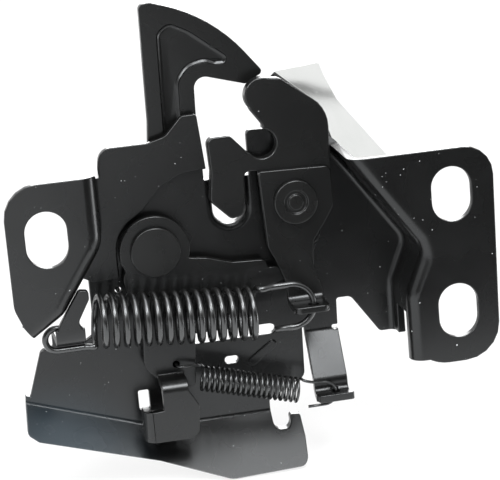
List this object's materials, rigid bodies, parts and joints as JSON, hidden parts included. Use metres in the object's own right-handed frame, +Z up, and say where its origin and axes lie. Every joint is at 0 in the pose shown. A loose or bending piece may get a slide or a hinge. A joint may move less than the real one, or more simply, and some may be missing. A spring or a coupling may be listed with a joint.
{
  "type": "bonnet latch with safety catch",
  "caption": "Car bonnet latch: pressed base plate with slotted wings, sprung fork that takes the striker, release pawl with cable cup, and a safety hook with a plated finger lever.",
  "frame": {"origin": "middle of the striker when the latch is shut, at the front of the pan's floor", "axes": "+X to the right as seen from the front, +Y away from the viewer, +Z up"},
  "size_m": [0.1454, 0.0477, 0.1438],
  "materials": {
    "black_coat": "satin black dip coat",
    "black_rivet": "semi-gloss black",
    "black_wire": "satin black",
    "bright_plate": "bright zinc plate"
  },
  "bodies": {
    "base": {"base_plate": "black_coat", "fork_rivet": "black_rivet", "fork_washer": "black_rivet", "pawl_rivet": "black_rivet", "pawl_washer": "black_rivet", "main_spring": "black_wire", "pawl_spring": "black_wire", "catch_spring": "black_wire"},
    "fork": {"fork": "black_coat", "fork_arm": "black_coat"},
    "pawl": {"pawl": "black_coat"},
    "catch": {"safety_hook": "black_coat", "safety_lever": "bright_plate", "catch_rivets": "bright_plate"}
  },
  "joints": [
    {"name": "fork_pivot", "type": "hinge", "parent": "base", "child": "fork", "pos_m": [0.0185, -0.0052, -0.007], "axis": [0, -1, 0], "range_deg": [0, 45], "stiffness_Nm_per_rad": 0.4, "springref_deg": -28.65, "deforming": ["main_spring"]},
    {"name": "pawl_pivot", "type": "hinge", "parent": "base", "child": "pawl", "pos_m": [-0.0245, -0.0043, -0.0175], "axis": [0, 1, 0], "range_deg": [0, 12], "stiffness_Nm_per_rad": 0.3, "springref_deg": -17.19, "deforming": ["pawl_spring"]},
    {"name": "catch_pivot", "type": "hinge", "parent": "base", "child": "catch", "pos_m": [-0.0245, 0.0052, -0.0175], "axis": [0, -1, 0], "range_deg": [0, 20], "stiffness_Nm_per_rad": 0.2, "springref_deg": -22.92, "deforming": ["catch_spring"]}
  ]
}
